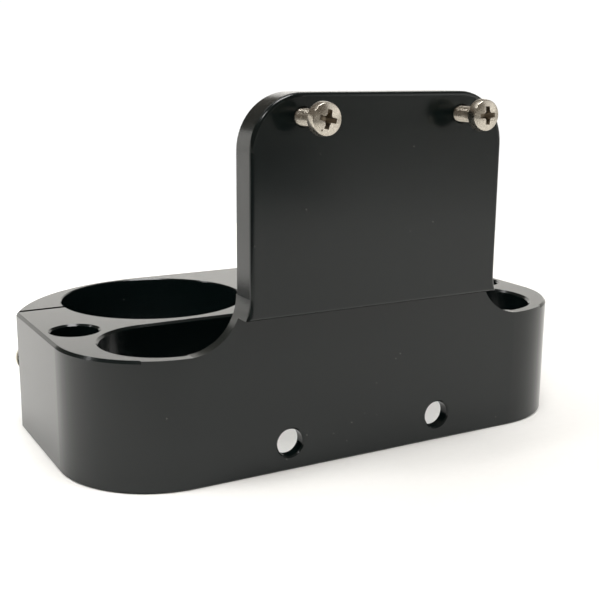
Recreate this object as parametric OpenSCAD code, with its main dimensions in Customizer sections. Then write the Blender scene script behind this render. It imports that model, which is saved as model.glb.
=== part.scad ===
// Twin tube clamp block with an upright device plate.
//
// One billet carries two split bores for 50.8 mm (2 in) tubes, a long slot in front of them and a
// plate that stands on the slot's thin front wall.  Two pan head screws hold a device to the plate,
// and one pan head screw across each slit pinches its bore.
//
// Frame: millimetres, +Z up.  X runs along the block, +Y to its rear.  The origin is the centre of
// the block's footprint, on its underside.

/* [Block] */
// Length of the block
block_l = 144; // [141:1:160]
// Depth of the block, from its front face to its rear face
block_w = 90; // [90:1:96]
// Height of the block
block_h = 32; // [26:1:40]
// Radius of the two front corners
front_r = 25; // [22:1:25]
// Radius of the two rear shoulders
shoulder_r = 48.5; // [48:0.5:50]
// Depth from the front face at which the end faces stop and the shoulders start
end_face_w = 61.5; // [60:0.5:62]
// Chamfer along the upper outline
top_chamfer = 0.7; // [0.3:0.1:1.2]
// Chamfer along the lower outline
bottom_chamfer = 0.4; // [0.2:0.1:0.8]

/* [Tube bores] */
// Bore diameter
tube_d = 50.8; // [48:0.1:50.8]
// Distance between the two bore axes
tube_pitch = 66; // [62:1:66]
// Depth of the bore axes from the front face
tube_depth = 62.1; // [61.8:0.1:62.2]
// Chamfer on the bore mouths
tube_chamfer = 0.3; // [0.1:0.1:0.5]
// Width of the slit from each end face into its bore
slit_w = 1.6; // [1:0.1:1.8]

/* [Slot] */
// Thickness of the thin wall in front of the slot
front_wall = 3; // [2:0.5:4]
// Width of the slot
slot_w = 30.5; // [28:0.5:30.5]
// Wall left between the slot and each end face
slot_end_wall = 9.2; // [8:0.2:14]
// Chamfer on the slot's upper rim
slot_chamfer = 0.6; // [0.2:0.1:0.8]

/* [Holes] */
// Diameter of the upright hole near each end
post_d = 12; // [8:0.5:12]
// Distance of that hole from the end face
post_inset = 8.4; // [8.4:0.1:9]
// Depth of that hole from the front face
post_depth = 36.4; // [36:0.2:38]
// Chamfer on the upright holes
post_chamfer = 0.5; // [0.2:0.1:0.8]
// Diameter of the two holes through the front wall
wall_hole_d = 7; // [4:0.5:9]
// Height of those holes above the underside
wall_hole_z = 7; // [6:0.5:16]
// Chamfer on the front wall holes
wall_hole_chamfer = 0.4; // [0.1:0.1:0.6]

/* [Plate] */
// Width of the plate
plate_w = 70; // [62:1:80]
// Height of the plate's top above the underside
plate_top = 91; // [80:1:110]
// How far the plate stands out past the front face
plate_proud = 5; // [3:0.5:6]
// Height of the ledge under the plate's proud part
ledge_z = 40; // [36:0.5:43]
// Radius of the plate's upper corners
plate_r = 13; // [8:1:20]
// Radius of the hollow blend at the plate's foot
foot_r = 13; // [13:1:14]
// Rounding along the plate's front edge
plate_round = 1; // [0.5:0.1:1.5]
// Chamfer along the plate's rear edge
plate_chamfer = 0.5; // [0.2:0.1:0.8]

/* [Screws] */
// Distance between the two plate screws, and between the front wall holes
screw_pitch = 44; // [36:1:48]
// Height of the plate screws above the underside
screw_z = 85.6; // [78:0.1:85.7]
// Thread diameter
screw_d = 3.9; // [3.9:0.05:3.95]
// Head diameter
head_d = 7.6; // [7:0.1:8]
// Head height
head_h = 3; // [2.4:0.1:3.1]
// Radius of the domed top of the head
dome_r = 6.5; // [6:0.5:8]
// Length under the head of the plate screws
plate_screw_l = 16; // [16:1:20]
// Length under the head of the clamp screws
clamp_screw_l = 20; // [18:1:20]
// Gap under the head of the left plate screw, as it is backed out
left_gap = 8.2; // [1:0.1:10]
// Gap under the head of the right plate screw
right_gap = 7.3; // [1:0.1:10]
// Gap under the heads of the clamp screws
clamp_gap = 5.2; // [1:0.1:6]

/* [Hidden] */
$fn = 96;

eps = 0.01;
cut = 1;                                   // how far a cutting body runs past a face
anodised = [0.21, 0.22, 0.22];
steel = [0.78, 0.76, 0.72];

// A worked-out length, rounded to a thousandth so that faces which should meet do so exactly
function fine(length) = round(1000 * length) / 1000;

half_l = block_l / 2;
front_y = -block_w / 2;
rear_y = block_w / 2;
shoulder_y = rear_y - shoulder_r;          // centre of a shoulder arc
end_face_y = front_y + end_face_w;
shoulder_x = fine(half_l - sqrt(shoulder_r * shoulder_r - pow(end_face_y - shoulder_y, 2)));
corner_x = half_l - front_r;
corner_y = front_y + front_r;
rim_end_x = 11.7;                          // where the upper chamfer stops, from a corner's centre

tube_x = tube_pitch / 2;
tube_y = front_y + tube_depth;
slit_chamfer = 0.4;

slot_front = front_y + front_wall;
slot_r = slot_w / 2;
slot_y = slot_front + slot_r;
slot_x = half_l - slot_end_wall - slot_r;

post_x = half_l - post_inset;
post_y = front_y + post_depth;

plate_front = front_y - plate_proud;
plate_t = plate_proud + front_wall;
foot_x = plate_w / 2 + foot_r;             // centre of a foot blend
foot_z = block_h + foot_r;
ledge_angle = 180 + asin((foot_z - ledge_z) / foot_r) + 2;
foot_sink = 1;                             // how far the foot's solid reaches into the base

screw_x = screw_pitch / 2;
tap_r = screw_d / 2 + 0.08;                // running fit of a thread in its tapped hole
tap_chamfer = 0.4;
screw_tip = 0.4;

clamp_x = half_l - 5.7;                    // axis of a clamp screw, between bore and end face
clamp_z = block_h / 2;
clamp_floor_y = front_y + 66.5;            // floor of the counterbore in the jaw
clamp_tap_y = front_y + 44.5;              // blind end of the tapped hole
clamp_clear_r = screw_d / 2 + 0.3;
counterbore_r = head_d / 2 + 0.6;

recess_l = 4.3;                            // cross recess: span, blade width and depth
recess_w = 0.95;
recess_h = 2;
recess_core_r = 1.15;

// Copies its children to the left half by mirroring them
module both() {
    children();
    mirror([1, 0, 0]) children();
}

// Section of a chamfer of size c for an edge at the origin whose solid lies in -X, -Y
module chamfer_section(c) {
    polygon([[-c - cut, cut], [cut, cut], [cut, -c - cut]]);
}

// Section that rounds an edge at the origin, whose solid lies in -X, -Y, to radius r
module round_section(r) {
    difference() {
        translate([-r, -r]) square(r + cut);
        translate([-r, -r]) circle(r);
    }
}

// Sweeps a section along a straight edge of length l, which runs along +Z
module edge(l) {
    linear_extrude(l) children();
}

// Sweeps a section round a convex arc of radius r, from angle a to angle b about +Z
module arc_edge(r, a, b) {
    rotate([0, 0, a]) rotate_extrude(angle = b - a) translate([r, 0]) children();
}

// Section of the base from an inner line at X = 0 out to its wall at X = r, with chamfered corners
module wall_section(r, top) {
    rim = top == 0 ? [[r, block_h]] : [[r, block_h - top], [r - top, block_h]];
    polygon(concat([[0, 0], [r - bottom_chamfer, 0], [r, bottom_chamfer]], rim, [[0, block_h]]));
}

// A straight stretch of the base, whose wall looks to +X and which runs from Y = 0 to Y = -l
module wall_strip(l) {
    rotate([90, 0, 0]) linear_extrude(l) children();
}

// A quarter turn of the base's wall about +Z, from +X to +Y
module wall_quarter() {
    rotate_extrude(angle = 90) children();
}

// The right half's end face, front corner and rear shoulder
module base_end() {
    translate([corner_x, end_face_y, 0])
        wall_strip(end_face_y - corner_y) wall_section(front_r, top_chamfer);
    translate([corner_x, corner_y, 0]) {
        rotate([0, 0, -90]) wall_quarter() wall_section(front_r, top_chamfer);
        intersection() {
            rotate([0, 0, -90]) wall_quarter() wall_section(front_r, 0);
            translate([-cut, -front_r - cut, -cut])
                cube([rim_end_x + cut, front_r + 2 * cut, block_h + 2 * cut]);
        }
    }
    intersection() {
        translate([shoulder_x, shoulder_y, 0])
            wall_quarter() wall_section(shoulder_r, top_chamfer);
        translate([shoulder_x - cut, end_face_y, -cut])
            cube([half_l - shoulder_x + cut, shoulder_r, block_h + 2 * cut]);
    }
}

// The base, solid: its front wall carries no upper chamfer, because the plate stands there
module base() {
    translate([-corner_x, corner_y, 0])
        cube([2 * corner_x, end_face_y - corner_y, block_h]);
    translate([corner_x, corner_y, 0]) rotate([0, 0, -90])
        wall_strip(2 * corner_x) wall_section(front_r, 0);
    translate([-shoulder_x, end_face_y, 0]) rotate([0, 0, 90])
        wall_strip(2 * shoulder_x) wall_section(rear_y - end_face_y, top_chamfer);
    both() base_end();
}

// Outline of the plate with its hollow foot blends, drawn in X and height
module plate_outline() {
    difference() {
        translate([-corner_x, block_h - foot_sink]) square([2 * corner_x, foot_r + foot_sink]);
        for (side = [-1, 1])
            translate([side * foot_x, foot_z]) circle(foot_r);
    }
    translate([-plate_w / 2, foot_z - eps]) square([plate_w, plate_top - plate_r - foot_z + eps]);
    translate([plate_r - plate_w / 2, foot_z]) square([plate_w - 2 * plate_r, plate_top - foot_z]);
    for (side = [-1, 1])
        translate([side * (plate_w / 2 - plate_r), plate_top - plate_r]) circle(plate_r);
}

// The plate, which stands in X-Z: its full thickness above the ledge and the thin wall below it
module plate() {
    difference() {
        translate([0, slot_front, 0]) rotate([90, 0, 0]) linear_extrude(plate_t) plate_outline();
        translate([-half_l, plate_front - cut, 0])
            cube([block_l, plate_proud + cut, ledge_z]);
        plate_front_edge();
        plate_rear_edge();
    }
}

// Places a sweep on the plate's outline, in a frame whose Z looks forward off the plate's face
module on_plate(y) {
    translate([0, y, 0]) rotate([90, 0, 0]) children();
}

// Rounding cutters round the plate's front face: sides, top, upper corners and ledge
module plate_front_edge() {
    on_plate(plate_front) both() {
        translate([plate_w / 2, foot_z, 0]) rotate([90, 0, 0]) mirror([0, 0, 1])
            edge(plate_top - plate_r - foot_z) round_section(plate_round);
        translate([plate_w / 2 - plate_r, plate_top - plate_r, 0])
            arc_edge(plate_r, 0, 90) round_section(plate_round);
        translate([0, plate_top, 0]) rotate([90, 0, 90])
            edge(plate_w / 2 - plate_r) round_section(plate_round);
        translate([0, ledge_z, 0]) mirror([0, 1, 0]) rotate([90, 0, 90])
            edge(foot_x) round_section(plate_round);
        translate([foot_x, foot_z, 0])
            arc_edge(foot_r, 180, ledge_angle) mirror([1, 0, 0]) round_section(plate_round);
    }
}

// Chamfer cutters round the plate's rear face: sides, top and upper corners
module plate_rear_edge() {
    on_plate(slot_front) mirror([0, 0, 1]) both() {
        translate([plate_w / 2, foot_z, 0]) rotate([90, 0, 0]) mirror([0, 0, 1])
            edge(plate_top - plate_r - foot_z) chamfer_section(plate_chamfer);
        translate([plate_w / 2 - plate_r, plate_top - plate_r, 0])
            arc_edge(plate_r, 0, 90) chamfer_section(plate_chamfer);
        translate([0, plate_top, 0]) rotate([90, 0, 90])
            edge(plate_w / 2 - plate_r) chamfer_section(plate_chamfer);
    }
}

// A through hole along +Z of radius r and height h, with a chamfer c at both mouths
module chamfered_hole(r, h, c) {
    translate([0, 0, -cut]) cylinder(r = r, h = h + 2 * cut);
    translate([0, 0, h - c]) cylinder(r1 = r, r2 = r + c + cut, h = c + cut);
    translate([0, 0, -cut]) cylinder(r1 = r + c + cut, r2 = r, h = c + cut);
}

// The long slot with round ends, and the chamfer along its rear and end rim
module slot_cut() {
    both() {
        translate([slot_x, slot_y, -cut]) cylinder(r = slot_r, h = block_h + 2 * cut);
        translate([slot_x, slot_y, block_h])
            arc_edge(slot_r, -90, 90) mirror([1, 0, 0]) chamfer_section(slot_chamfer);
    }
    translate([-slot_x, slot_front, -cut]) cube([2 * slot_x, slot_w, block_h + 2 * cut]);
    translate([-slot_x, slot_front + slot_w, block_h]) rotate([90, 0, 90])
        edge(2 * slot_x) mirror([1, 0, 0]) chamfer_section(slot_chamfer);
}

// Slit from the right end face into the right bore, with its outer corners broken
module slit_cut() {
    translate([tube_x, tube_y - slit_w / 2, -cut])
        cube([half_l - tube_x + cut, slit_w, block_h + 2 * cut]);
    translate([half_l, tube_y - slit_w / 2, -cut])
        edge(block_h + 2 * cut) chamfer_section(slit_chamfer);
}

// Hole of the right clamp screw: counterbore, clearance through the jaw, blind tapped hole
module clamp_hole() {
    translate([clamp_x, 0, clamp_z]) rotate([-90, 0, 0]) {
        translate([0, 0, clamp_floor_y]) cylinder(r = counterbore_r, h = shoulder_r);
        translate([0, 0, tube_y]) cylinder(r = clamp_clear_r, h = clamp_floor_y - tube_y + cut);
        translate([0, 0, clamp_tap_y]) cylinder(r = tap_r, h = tube_y - clamp_tap_y);
    }
}

// Tapped hole of a plate screw, with a small lead-in on the plate's face
module plate_tap(side) {
    translate([side * screw_x, slot_front + cut, screw_z]) rotate([90, 0, 0]) {
        cylinder(r = tap_r, h = plate_t + 2 * cut);
        translate([0, 0, plate_t + cut - tap_chamfer])
            cylinder(r1 = tap_r, r2 = tap_r + tap_chamfer + cut, h = tap_chamfer + cut);
    }
}

// Hole through the thin front wall
module wall_hole(side) {
    translate([side * screw_x, slot_front + cut, wall_hole_z]) rotate([90, 0, 0]) {
        cylinder(d = wall_hole_d, h = front_wall + 2 * cut);
        translate([0, 0, front_wall + cut - wall_hole_chamfer])
            cylinder(d1 = wall_hole_d, d2 = wall_hole_d + 2 * (wall_hole_chamfer + cut),
                     h = wall_hole_chamfer + cut);
    }
}

module block() {
    color(anodised) difference() {
        union() {
            base();
            plate();
        }
        both() {
            translate([tube_x, tube_y, 0]) chamfered_hole(tube_d / 2, block_h, tube_chamfer);
            translate([post_x, post_y, 0]) chamfered_hole(post_d / 2, block_h, post_chamfer);
            slit_cut();
            clamp_hole();
        }
        slot_cut();
        for (side = [-1, 1]) {
            plate_tap(side);
            wall_hole(side);
        }
    }
}

// Cross recess, sunk into a head whose top is at z = 0
module cross_recess() {
    for (turn = [0, 90])
        rotate([0, 0, turn]) translate([-recess_l / 2, -recess_w / 2, -recess_h])
            cube([recess_l, recess_w, recess_h + cut]);
    translate([0, 0, -recess_h]) cylinder(r = recess_core_r, h = recess_h + cut);
}

// Pan head screw of length l under the head.  The head's seat is at z = 0 and its top looks to +Z
module pan_screw(l, turn) {
    color(steel) rotate([0, 0, turn]) {
        difference() {
            intersection() {
                cylinder(d = head_d, h = head_h);
                translate([0, 0, head_h - dome_r]) sphere(dome_r);
            }
            translate([0, 0, head_h]) cross_recess();
        }
        translate([0, 0, screw_tip - l]) cylinder(d = screw_d, h = l - screw_tip + head_h / 4);
        translate([0, 0, -l]) cylinder(d1 = screw_d - 2 * screw_tip, d2 = screw_d, h = screw_tip);
    }
}

// A plate screw faces forward, backed out by the given gap
module plate_screw(side, gap, turn) {
    translate([side * screw_x, plate_front - gap, screw_z]) rotate([90, 0, 0])
        pan_screw(plate_screw_l, turn);
}

module plate_screw_left() {
    plate_screw(-1, left_gap, -12);
}

module plate_screw_right() {
    plate_screw(1, right_gap, 3);
}

// A clamp screw faces rearward
module clamp_screw(side, turn) {
    translate([side * clamp_x, clamp_floor_y + clamp_gap, clamp_z]) rotate([-90, 0, 0])
        pan_screw(clamp_screw_l, turn);
}

module clamp_screw_left() {
    clamp_screw(-1, 20);
}

module clamp_screw_right() {
    clamp_screw(1, -35);
}

block();
plate_screw_left();
plate_screw_right();
clamp_screw_left();
clamp_screw_right();
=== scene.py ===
# %% [markdown]
# # A black anodised tube clamp block, and its four screws
#
# This lesson gives a machined part its finish.  The part is a mounting block cut from one
# aluminium billet: two split bores that clamp a pair of tubes, a long slot in front of them, and an
# upright plate with two screws for whatever the block carries.  Its shape comes ready made from a CAD
# model, which also says what moves.  Our work is the surface of the metal, the fine shape of the
# screws, the light and the camera.
#
# We begin by loading the CAD model and keeping the size of its box.  Everything is in metres.

# %% Load the CAD model
import math

import bmesh
import bpy
from mathutils import Matrix, Vector


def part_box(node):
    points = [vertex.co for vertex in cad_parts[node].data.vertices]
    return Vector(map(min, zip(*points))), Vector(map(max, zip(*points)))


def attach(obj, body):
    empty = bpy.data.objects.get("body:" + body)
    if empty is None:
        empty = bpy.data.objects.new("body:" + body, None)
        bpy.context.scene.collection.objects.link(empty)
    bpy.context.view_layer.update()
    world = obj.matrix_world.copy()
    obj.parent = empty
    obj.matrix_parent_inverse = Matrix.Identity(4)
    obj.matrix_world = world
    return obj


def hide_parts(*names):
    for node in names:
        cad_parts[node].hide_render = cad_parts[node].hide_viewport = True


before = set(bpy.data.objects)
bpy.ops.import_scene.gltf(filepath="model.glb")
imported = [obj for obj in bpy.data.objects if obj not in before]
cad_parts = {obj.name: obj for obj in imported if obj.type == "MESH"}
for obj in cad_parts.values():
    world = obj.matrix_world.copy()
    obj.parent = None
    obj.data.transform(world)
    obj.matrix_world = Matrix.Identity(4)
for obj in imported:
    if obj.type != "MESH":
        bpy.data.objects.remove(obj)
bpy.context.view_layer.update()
MM = 0.001

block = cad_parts["block"]
block_low, block_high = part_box("block")
print("CAD nodes:", sorted(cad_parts))
print("block, in mm:", [round((b - a) / MM, 1) for a, b in zip(block_low, block_high)])

# %% [markdown]
# ## The camera
#
# A small product such as this is best seen through a short telephoto lens from a little above table
# height.  That keeps upright edges nearly parallel, and it shows the plate's front, the left end face
# and the mouths of the bores at once.  We aim a camera by a bearing, a downward tilt and a slight
# roll, because those are the three things one would turn on a tripod.

# %% Aim the camera
LENS_MM = 60.94
BEARING, TILT, ROLL = math.radians(29.32), math.radians(13.12), math.radians(0.44)

camera = bpy.data.objects.new("camera", bpy.data.cameras.new("camera"))
camera.data.lens = LENS_MM
camera.data.sensor_width = 36
camera.data.clip_start = 0.01
camera.data.clip_end = 20
turn_to_block = Matrix.Rotation(-BEARING, 4, "Z")
tilt_down = Matrix.Rotation(math.pi / 2 - TILT, 4, "X")
camera.matrix_world = (
    Matrix.Translation((-0.1345, -0.2494, 0.0972))
    @ turn_to_block @ tilt_down @ Matrix.Rotation(ROLL, 4, "Z")
)
bpy.context.scene.collection.objects.link(camera)
bpy.context.scene.camera = camera
print("camera at", [round(v, 3) for v in camera.matrix_world.translation])

# %% [markdown]
# ## Two helpers for materials
#
# A finish is chosen as an sRGB colour, but Cycles adds light up in linear values.  One
# function turns a hex colour into the linear value that a socket wants.  A second adds a node, fills
# in its sockets and links it, so that each material below reads as a short recipe.

# %% Colour and node helpers
def linear(hex_colour):
    """The linear RGBA of an sRGB colour such as 'c9c4ba'."""
    parts = [int(hex_colour[i:i + 2], 16) / 255 for i in (0, 2, 4)]
    return [p / 12.92 if p <= 0.04045 else ((p + 0.055) / 1.055) ** 2.4 for p in parts] + [1]


def add(material, kind, settings=None, **sockets):
    """Adds a node of a kind.  A socket's name has _ for a space, and it takes a value or an output."""
    node = material.node_tree.nodes.new("ShaderNode" + kind)
    for key, value in (settings or {}).items():
        setattr(node, key, value)
    for key, value in sockets.items():
        socket = node.inputs[int(key[2:])] if key[:2] == "in" else node.inputs[key.replace("_", " ")]
        if isinstance(value, bpy.types.NodeSocket):
            material.node_tree.links.new(value, socket)
        else:
            socket.default_value = value
    return node


def new_material(name):
    """An empty node material, and the function that finishes it with its surface shader."""
    material = bpy.data.materials.new(name)
    material.use_nodes = True
    material.node_tree.nodes.clear()

    def surface(shader):
        add(material, "OutputMaterial", Surface=shader.outputs[0])
        print("material:", name, "with", len(material.node_tree.nodes), "nodes")
        return material

    return material, surface


print("sRGB 808080 is", round(linear("808080")[0], 3), "in linear light")

# %% [markdown]
# ## Satin black anodised aluminium
#
# The block is milled from aluminium, blasted lightly so that it turns satin, and then anodised: the
# surface is grown into a few hundredths of a millimetre of clear, hard alumina, whose pores are dyed
# black.  To the eye that is a very dark body under a glossy, slightly veiled skin.  Seen square on it
# is almost black, and at a glancing angle it mirrors the room.  So the finish is a near-black colour
# under a clear skin, and not a bare metal, whose reflection would be strong from every side.  Solid
# alumina has an IOR of 1.77, but this skin is porous and filled with dye and water: it behaves as 1.45.
#
# Three fine textures break up the sheen: the grain of the blasting, the faint upright marks of the
# milling cutter, and a little variation of the gloss that handling leaves.  Real blast grain is about
# 0.05 mm, too fine to show here, so it is drawn at about 0.3 mm.  A few specks of dust lie on top.

# %% Black anodised aluminium
def black_anodised_aluminium():
    material, surface = new_material("black_anodised_aluminium")
    blast_grain, cutter_step, handling = 0.3 * MM, 0.8 * MM, 30 * MM
    dust_spacing, dust_radius = 4.5 * MM, 0.15 * MM

    place = add(material, "TexCoord").outputs["Object"]
    grain = add(material, "TexNoise", Vector=place, Scale=1 / blast_grain, Detail=2.0).outputs[0]
    haze = add(material, "TexNoise", Vector=place, Scale=1 / handling, Detail=3.0).outputs[0]
    upright = add(material, "Mapping", Vector=place, Scale=(1, 1, 0.02)).outputs[0]
    milling = add(material, "TexNoise", Vector=upright, Scale=1 / cutter_step, Detail=1.0).outputs[0]

    speck = add(material, "TexVoronoi", Vector=place, Scale=1 / dust_spacing).outputs["Distance"]
    dust = add(material, "MapRange", Value=speck, From_Min=dust_radius / dust_spacing,
               From_Max=0.5 * dust_radius / dust_spacing, To_Min=0.0, To_Max=0.8).outputs[0]

    body = add(material, "MixRGB", Fac=haze, Color1=linear("040c0c"), Color2=linear("0a1212"))
    colour = add(material, "MixRGB", Fac=dust, Color1=body.outputs[0], Color2=linear("8c8b86"))
    satin = add(material, "MapRange", Value=haze, To_Min=0.12, To_Max=0.17).outputs[0]
    gloss = add(material, "Math", {"operation": "MULTIPLY_ADD"}, in0=grain, in1=0.05, in2=satin)
    marks = add(material, "Bump", Height=milling, Strength=0.10, Distance=0.02 * MM)
    skin = add(material, "Bump", Height=grain, Strength=0.25, Distance=0.02 * MM,
               Normal=marks.outputs[0])
    return surface(add(material, "BsdfPrincipled", Base_Color=colour.outputs[0],
                       Roughness=gloss.outputs[0], IOR=1.45, Normal=skin.outputs[0]))


anodised = black_anodised_aluminium()
block.data.materials.clear()
block.data.materials.append(anodised)
for polygon in block.data.polygons:
    polygon.material_index = 0
print("block:", len(block.data.polygons), "faces wear", anodised.name)

# %% [markdown]
# ## Passivated stainless steel
#
# The screws are cold headed from stainless wire, their threads are rolled, and the finished screws
# are tumbled and passivated.  That leaves a warm silver colour and a soft shine, without the straight
# lines of brushing.  It is a bare metal, so metallic is 1 and the colour itself is the reflection.
# The cross recess takes the same recipe with a darker, browner colour and a rougher shine: that colour
# is painted shade, for the hollow where little light reaches.

# %% Passivated stainless steel
def passivated_stainless(name, dark, light, smooth, rough):
    material, surface = new_material(name)
    tumbling = 0.25 * MM

    place = add(material, "TexCoord").outputs["Object"]
    dents = add(material, "TexNoise", Vector=place, Scale=1 / tumbling, Detail=2.0).outputs[0]
    gloss = add(material, "MapRange", Value=dents, To_Min=smooth, To_Max=rough).outputs[0]
    colour = add(material, "MixRGB", Fac=dents, Color1=linear(dark), Color2=linear(light))
    skin = add(material, "Bump", Height=dents, Strength=0.05, Distance=0.02 * MM)
    return surface(add(material, "BsdfPrincipled", Base_Color=colour.outputs[0], Metallic=1.0,
                       Roughness=gloss, Normal=skin.outputs[0]))


stainless = passivated_stainless("passivated_stainless", "bdb6a9", "c4beb3", 0.24, 0.31)
# The darker colour of this recess material is painted shade for the hollows of the heads.
recess_painted_shade = passivated_stainless("stainless_recess_painted_shade", "8d8272", "9c9180", 0.35, 0.5)

# %% [markdown]
# ## The screws
#
# The CAD screws are plain shanks, because a running fit is easier to check than a helix.  The real
# ones are M4 pan heads: a rolled thread with 0.7 mm from crest to crest, a domed head with a soft rim,
# and a cross recess whose four wings taper as they go down.
#
# The thread could be made with a Screw modifier, but its ends are awkward.  It is simpler to bend a
# grid of points round the axis, and to let each point's radius follow a trapezium wave of its height
# less its angle.  That is a helix, and the ends can fade it out.

# %% Measures of the thread
PITCH = 0.7 * MM
CREST_R, ROOT_R, TIP_R = 1.94 * MM, 1.53 * MM, 1.18 * MM
POINT = 0.9 * MM
ROOT_SHARE, FLANK_SHARE = 0.15, 0.65
COLUMNS, ROWS_PER_TURN = 48, 10


def thread_radius(height, angle, length):
    """Radius of the thread at a height above the tip: a trapezium wave that fades at both ends."""
    phase = (height / PITCH - angle / math.tau) % 1
    from_root = abs(2 * phase - 1)
    wave = min(max((from_root - ROOT_SHARE) / FLANK_SHARE, 0), 1)
    radius = ROOT_R + (CREST_R - ROOT_R) * wave
    point = TIP_R + height * (CREST_R - TIP_R) / POINT
    under_head = max(0, 1 - (length - height) / PITCH)
    radius += (CREST_R - radius) * under_head
    return min(radius, point)


def close_rings(mesh, rings):
    """Joins rings of points with faces, from the lowest to the highest, and caps both ends."""
    count = len(rings[0])
    for low, high in zip(rings, rings[1:]):
        for i in range(count):
            j = (i + 1) % count
            mesh.faces.new((low[i], low[j], high[j], high[i]))
    mesh.faces.new(rings[0][::-1])
    mesh.faces.new(rings[-1])


def thread_mesh(mesh, length, into_head=0.8 * MM):
    """Adds the threaded shank to a bmesh, from its tip at Z = -length up into the head."""
    rows = int(length / PITCH * ROWS_PER_TURN)
    rings = []
    for row in range(rows + 1):
        height = length * row / rows
        ring = []
        for column in range(COLUMNS):
            angle = math.tau * column / COLUMNS
            radius = thread_radius(height, angle, length)
            ring.append(mesh.verts.new((radius * math.cos(angle), radius * math.sin(angle),
                                        height - length)))
        rings.append(ring)
    rings.append([mesh.verts.new((v.co.x, v.co.y, into_head)) for v in rings[-1]])
    close_rings(mesh, rings)


print("turns of thread on a 16 mm screw:", round(16 * MM / PITCH, 1))

# %% [markdown]
# The head is one outline turned about the axis: flat underneath, a soft rim, a barely curved side, a
# rounded edge, and then a shallow dome.  The three arcs run into each other without a corner, so the
# centre of the edge's arc is where two circles cross: one inside the side's, one inside the dome's.

# %% Outline of the head
HEAD_R, HEAD_H = 3.8 * MM, 3.0 * MM
RIM_ROUND, SIDE_R, EDGE_ROUND, DOME_R = 0.25 * MM, 9.5 * MM, 0.3 * MM, 10.0 * MM


def arc(centre, radius, start, end, steps):
    """Points along an arc, from one angle in degrees to another."""
    angles = [math.radians(start + (end - start) * i / steps) for i in range(steps + 1)]
    return [(centre[0] + radius * math.cos(a), centre[1] + radius * math.sin(a)) for a in angles]


def crossing(first, first_r, second, second_r):
    """The right hand one of the two points where two circles cross."""
    span = Vector(second) - Vector(first)
    along = (first_r ** 2 - second_r ** 2 + span.length ** 2) / (2 * span.length)
    across = math.sqrt(first_r ** 2 - along ** 2)
    step = span.normalized()
    return max((Vector(first) + step * along + Vector((-step.y, step.x)) * across * sign
                for sign in (1, -1)), key=lambda point: point.x)


def head_outline():
    """Radius and height along the head, from the axis underneath round to the axis on top."""
    side_centre, dome_centre = (HEAD_R - SIDE_R, RIM_ROUND), (0, HEAD_H - DOME_R)
    edge_centre = crossing(side_centre, SIDE_R - EDGE_ROUND, dome_centre, DOME_R - EDGE_ROUND)
    leave_side, meet_dome = (
        math.degrees(math.atan2(edge_centre.y - y, edge_centre.x - x))
        for x, y in (side_centre, dome_centre)
    )
    rim = arc((HEAD_R - RIM_ROUND, RIM_ROUND), RIM_ROUND, -90, 0, 6)
    side = arc(side_centre, SIDE_R, 0, leave_side, 6)
    edge = arc(edge_centre, EDGE_ROUND, leave_side, meet_dome, 8)
    dome = arc(dome_centre, DOME_R, meet_dome, 90, 20)
    return [(0, 0)] + rim + side[1:] + edge[1:] + dome[1:]


print("outline of the head:", len(head_outline()), "points")

# %% Turn an outline into a solid
def turned_mesh(mesh, outline, columns=72):
    """Turns an outline, which starts and ends on the axis, into a closed solid."""
    first = mesh.verts.new((0, 0, outline[0][1]))
    last = mesh.verts.new((0, 0, outline[-1][1]))
    rings = []
    for radius, height in outline[1:-1]:
        rings.append([mesh.verts.new((radius * math.cos(math.tau * i / columns),
                                      radius * math.sin(math.tau * i / columns), height))
                      for i in range(columns)])
    for i in range(columns):
        j = (i + 1) % columns
        mesh.faces.new((first, rings[0][j], rings[0][i]))
        for low, high in zip(rings, rings[1:]):
            mesh.faces.new((low[i], low[j], high[j], high[i]))
        mesh.faces.new((rings[-1][i], rings[-1][j], last))


# %% [markdown]
# The recess is cut out of the head with a Boolean, because that gives the crisp edge that a punch
# leaves.  The cutter is a cross on four levels, whose wings get shorter and narrower towards the floor,
# as those of a cross point driver do.  The left plate screw also has a small punch mark between two
# wings, which a small ball cuts.

# %% Cutters for the recess and the punch mark
RECESS_SPAN, RECESS_DEPTH, WING = 4.5 * MM, 2.2 * MM, 0.62 * MM
PUNCH_R, PUNCH_REACH, PUNCH_Z, PUNCH_TURN = 0.22 * MM, 2.75 * MM, 2.62 * MM, math.radians(249)


def recess_mesh(mesh, span, depth):
    """A cross shaped cutter that opens upwards: four tapered wings round a tapered core."""
    mouth, floor = HEAD_H, HEAD_H - depth
    levels = [
        # (height, half the width of a wing, reach of a wing)
        (floor, 0.5 * WING, 0.55 * MM),
        (floor + 0.4 * MM, 0.62 * WING, 1.0 * MM),
        (mouth - 0.25 * MM, 0.9 * WING, span / 2 - 0.12 * MM),
        (mouth + 0.5 * MM, 1.1 * WING, span / 2 + 0.15 * MM),
    ]
    rings = []
    for height, half_width, reach in levels:
        core = 1.55 * half_width
        ring = []
        for quarter in range(4):
            turn = Matrix.Rotation(quarter * math.pi / 2, 3, "Z")
            for point in ((reach, -half_width), (reach, half_width), (core, half_width),
                          (half_width, core)):
                ring.append(mesh.verts.new(turn @ Vector((*point, height))))
        rings.append(ring)
    close_rings(mesh, rings)


def punch_mesh(mesh, radius):
    """A little ball that dents the top of the head between two wings of the recess."""
    bmesh.ops.create_icosphere(mesh, subdivisions=3, radius=radius)
    bmesh.ops.translate(mesh, verts=mesh.verts,
                        vec=(PUNCH_REACH * math.cos(PUNCH_TURN), PUNCH_REACH * math.sin(PUNCH_TURN),
                             PUNCH_Z))


print("recess:", round(RECESS_SPAN / MM, 1), "mm across,", round(RECESS_DEPTH / MM, 1), "mm deep")

# %% Assemble a screw
SHARP_ANGLE = math.radians(32)


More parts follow.
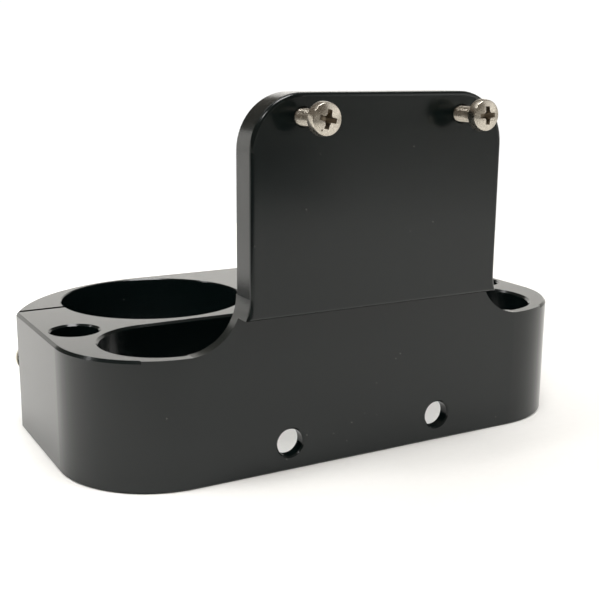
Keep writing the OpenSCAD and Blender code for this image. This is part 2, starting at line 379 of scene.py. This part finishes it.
def object_from(name, fill, *sizes):
    """A linked object whose mesh is filled in by a function."""
    mesh = bmesh.new()
    fill(mesh, *sizes)
    bmesh.ops.recalc_face_normals(mesh, faces=mesh.faces)
    data = bpy.data.meshes.new(name)
    mesh.to_mesh(data)
    mesh.free()
    made = bpy.data.objects.new(name, data)
    bpy.context.scene.collection.objects.link(made)
    return made


def apply_modifiers(piece):
    """Turns a piece with modifiers into a plain mesh."""
    graph = bpy.context.evaluated_depsgraph_get()
    piece.data = bpy.data.meshes.new_from_object(piece.evaluated_get(graph))
    piece.modifiers.clear()


def pan_head_screw(name, length, punched):
    """A screw whose head sits on Z = 0 and looks to +Z."""
    screw = object_from(name, turned_mesh, head_outline())
    screw.data.materials.append(stainless)
    # The recess and the punch mark wear the darker recess material, as painted shade in their hollows.
    parts = [
        (object_from("recess", recess_mesh, RECESS_SPAN, RECESS_DEPTH), "DIFFERENCE", recess_painted_shade),
        (object_from("thread", thread_mesh, length), "UNION", stainless),
    ]
    if punched:
        parts.append((object_from("punch", punch_mesh, PUNCH_R), "DIFFERENCE", recess_painted_shade))
    for part, operation, finish in parts:
        part.data.materials.append(finish)
        boolean = screw.modifiers.new(operation, "BOOLEAN")
        boolean.object = part
        boolean.operation = operation
        boolean.solver = "EXACT"
        boolean.material_mode = "TRANSFER"
        apply_modifiers(screw)
        bpy.data.objects.remove(part)
    screw.data.shade_smooth()
    screw.data.set_sharp_from_angle(angle=SHARP_ANGLE)
    return screw


# %% [markdown]
# Each screw is then laid along its own axis.  Where it goes comes from the CAD node it replaces: the
# head's outer end is one end of that node's box, and the axis runs through the middle.  The heads are
# turned differently, as screws are wherever the thread happens to stop.

# %% Place the four screws
SCREWS = {
    # name: (length under the head, direction the head looks, turn of the recess, punch mark)
    "plate_screw_left": (16 * MM, -1, -12, True),
    "plate_screw_right": (16 * MM, -1, 3, False),
    "clamp_screw_left": (20 * MM, 1, 20, False),
    "clamp_screw_right": (20 * MM, 1, -35, False),
}

for node, (length, looks, turn, punched) in SCREWS.items():
    low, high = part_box(node)
    middle = (low + high) / 2
    seat_y = (high.y - HEAD_H) if looks > 0 else (low.y + HEAD_H)
    screw = pan_head_screw(node + "_threaded", length, punched)
    screw.matrix_world = (
        Matrix.Translation((middle.x, seat_y, middle.z))
        @ Matrix.Rotation(-looks * math.pi / 2, 4, "X")
        @ Matrix.Rotation(math.radians(turn), 4, "Z")
    )
    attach(screw, node)
    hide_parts(node)
    print(screw.name, len(screw.data.polygons), "faces")

# %% [markdown]
# ## Table and light
#
# A glossy dark object is lit by what it reflects, so the studio is built for its reflections.  The
# block stands in the middle of a round white table whose rim curls up into a low wall: that fills the
# front and end faces from below, and the top faces from the far wall.  Above the wall the room is dark,
# which keeps the chamfers and the rims of the bores crisp.  The wall is higher behind the block, where
# the top faces look.

# %% White table with a curled rim
def rim_height(angle):
    """Height of the wall at an angle about +Z: tallest behind the block and to its right."""
    return 0.45 + 0.35 * math.cos(angle - math.radians(30))


def table_mesh(mesh, radius, curl, columns=96):
    """A round table, a quarter turn of curl, and a wall."""
    rings = []
    flat = [(radius * share, 0.0) for share in (0.12, 0.3, 0.6, 1.0)]
    for r, z in flat + arc((radius, curl), curl, -90, 0, 10)[1:] + [(radius + curl, None)]:
        rings.append([mesh.verts.new((r * math.cos(math.tau * i / columns),
                                      r * math.sin(math.tau * i / columns),
                                      rim_height(math.tau * i / columns) if z is None else z))
                      for i in range(columns)])
    mesh.faces.new(rings[0])
    for low, high in zip(rings, rings[1:]):
        for i in range(columns):
            j = (i + 1) % columns
            mesh.faces.new((low[i], low[j], high[j], high[i]))


def white_table():
    material, surface = new_material("white_laminate_table")
    place = add(material, "TexCoord").outputs["Object"]
    grain = add(material, "TexNoise", Vector=place, Scale=1 / (2 * MM), Detail=2.0).outputs[0]
    colour = add(material, "MixRGB", Fac=grain, Color1=linear("f3f2ef"), Color2=linear("f7f6f3"))
    return surface(add(material, "BsdfPrincipled", Base_Color=colour.outputs[0], Roughness=0.6,
                       IOR=1.3))


TABLE_RADIUS, TABLE_CURL = 1.4, 0.15

table = object_from("white_table", table_mesh, TABLE_RADIUS, TABLE_CURL)
table.data.materials.append(white_table())
table.data.shade_smooth()
print("table wall:", [round(rim_height(math.radians(a)), 2) for a in (210, 120, 30)], "m high")

# %% [markdown]
# Six lamps do the rest.  The overhead one is high, and lights the table.  The one over the left shoulder
# draws the bright crescents on the screw heads and the streak round the plate's corner.  The one at the
# right front is large and dim, for the right half of the domes.  One washes the wall behind, which the
# top faces mirror.  Two small ones only brighten patches of the table: one that the left end face
# mirrors, and one that the plate mirrors.  They are hidden from reflections themselves.

# %% Lamps
def panel(name, centre, target, size, watts):
    """A rectangular soft light at a place, facing a target."""
    light = bpy.data.lights.new(name, "AREA")
    light.shape = "RECTANGLE"
    light.size, light.size_y = size
    light.energy = watts
    lamp = bpy.data.objects.new(name, light)
    lamp.location = centre
    lamp.rotation_euler = (Vector(target) - Vector(centre)).to_track_quat("-Z", "Y").to_euler()
    lamp.visible_camera = False
    bpy.context.scene.collection.objects.link(lamp)
    print("light:", name, watts, "W")
    return lamp


panel("overhead", (0.0, -0.2, 1.1), (0.05, 0.0, 0), (0.45, 0.45), 7.3)
panel("left_shoulder", (-0.57, -0.60, 0.93), (0, 0, 0.03), (0.16, 0.16), 2.4)
panel("right_front", (0.94, -0.78, 0.50), (0, 0, 0.06), (0.85, 0.85), 2.0)
panel("back_wash", (0.0, 0.45, 0.9), (0, 1.4, 0.15), (1.6, 0.4), 17)
left_patch = panel("left_patch", (-0.24, 0.02, 0.30), (-0.12, 0.05, 0), (0.10, 0.10), 0.17)
right_patch = panel("right_patch", (0.22, -0.34, 0.30), (0.20, -0.30, 0), (0.10, 0.10), 0.50)
left_patch.data.spread = math.radians(90)
for lamp in (left_patch, right_patch):
    lamp.visible_glossy = False

# %% [markdown]
# A dark sheet lies on the table to the left of the camera and in front of it.  It is a painted
# reflection: it stands for the shade on the camera's side of the room.  The rounded left edge of the
# plate mirrors it, and turns into a dark line, and so does the plate's upper left, which fades to
# black.  Only reflections see the sheet, so the table stays clean from every side.

# %% Painted dark reflection: a sheet seen only in reflections
def dark_sheet_mesh(mesh, near_start, near_end, far, start, end, steps=24):
    """A ring sector just above the table, between two angles in degrees; its near edge spirals out."""
    outer = arc((0, 0), far, start, end, steps)
    for i, (x, y) in enumerate(outer):
        share = (near_start + (near_end - near_start) * i / steps) / far
        mesh.verts.new((x * share, y * share, 2 * MM))
        mesh.verts.new((x, y, 2 * MM))
    mesh.verts.ensure_lookup_table()
    for i in range(0, 2 * steps, 2):
        mesh.faces.new([mesh.verts[i + k] for k in (0, 1, 3, 2)])


def painted_reflection_sheet():
    # Its near-black colour is a painted dark reflection of the shade on the camera's side.
    material, surface = new_material("painted_dark_reflection")
    place = add(material, "TexCoord").outputs["Object"]
    weave = add(material, "TexNoise", Vector=place, Scale=1 / (1.5 * MM)).outputs[0]
    colour = add(material, "MixRGB", Fac=weave, Color1=linear("101010"), Color2=linear("202020"))
    return surface(add(material, "BsdfPrincipled", Base_Color=colour.outputs[0], Roughness=0.9))


SHEET_NEAR_START, SHEET_NEAR_END, SHEET_FAR = 0.22, 0.55, 1.3
SHEET_START, SHEET_END = 185, 297  # degrees about +Z, from +X

reflection_sheet = object_from("painted_reflection_sheet", dark_sheet_mesh, SHEET_NEAR_START, SHEET_NEAR_END, SHEET_FAR,
                    SHEET_START, SHEET_END)
reflection_sheet.data.materials.append(painted_reflection_sheet())
reflection_sheet.visible_camera = reflection_sheet.visible_diffuse = reflection_sheet.visible_shadow = False

# %% [markdown]
# Above the wall the room is dark, but a dark band behind the block would look untidy.  So a white paper
# dome, with a paper ring round its foot, closes the set for the camera.  Nothing is lit by it, and
# nothing mirrors it.

# %% White paper dome, for the camera only
def dome_mesh(mesh, near, radius):
    """A paper ring that lies on the table from a near radius, and half a ball that rises from it."""
    profile = [(near, MM)] + arc((0, MM), radius, 0, 90, 16)
    points = [mesh.verts.new((x, 0, z)) for x, z in profile]
    edges = [mesh.edges.new(pair) for pair in zip(points, points[1:])]
    bmesh.ops.spin(mesh, geom=points + edges, cent=(0, 0, 0), axis=(0, 0, 1), angle=math.tau,
                   steps=64)
    bmesh.ops.remove_doubles(mesh, verts=mesh.verts, dist=0.1 * MM)


def lit_paper():
    material, surface = new_material("lit_white_paper")
    place = add(material, "TexCoord").outputs["Object"]
    fibre = add(material, "TexNoise", Vector=place, Scale=1 / (40 * MM)).outputs[0]
    colour = add(material, "MixRGB", Fac=fibre, Color1=linear("fdfdfc"), Color2=linear("ffffff"))
    return surface(add(material, "Emission", Color=colour.outputs[0], Strength=1.04))


RING_NEAR, DOME_RADIUS = 0.34, 0.80

dome = object_from("paper_dome", dome_mesh, RING_NEAR, DOME_RADIUS)
dome.data.materials.append(lit_paper())
dome.visible_diffuse = dome.visible_glossy = dome.visible_shadow = False
dome.visible_transmission = dome.visible_volume_scatter = False

# %% [markdown]
# Last comes the room itself: a dim warm brown, which the upper left of each screw head and the chamfers
# mirror.  The Standard view transform keeps the blacks and the whites as they were chosen.

# %% The room above the table
ROOM_COLOUR, ROOM_STRENGTH = linear("8f857a"), 0.55

world = bpy.data.worlds.new("dark_room")
world.use_nodes = True
background = world.node_tree.nodes["Background"]
background.inputs["Color"].default_value = ROOM_COLOUR
background.inputs["Strength"].default_value = ROOM_STRENGTH
bpy.context.scene.world = world
bpy.context.scene.view_settings.view_transform = "Standard"
print("room:", world.name, "at strength", ROOM_STRENGTH)
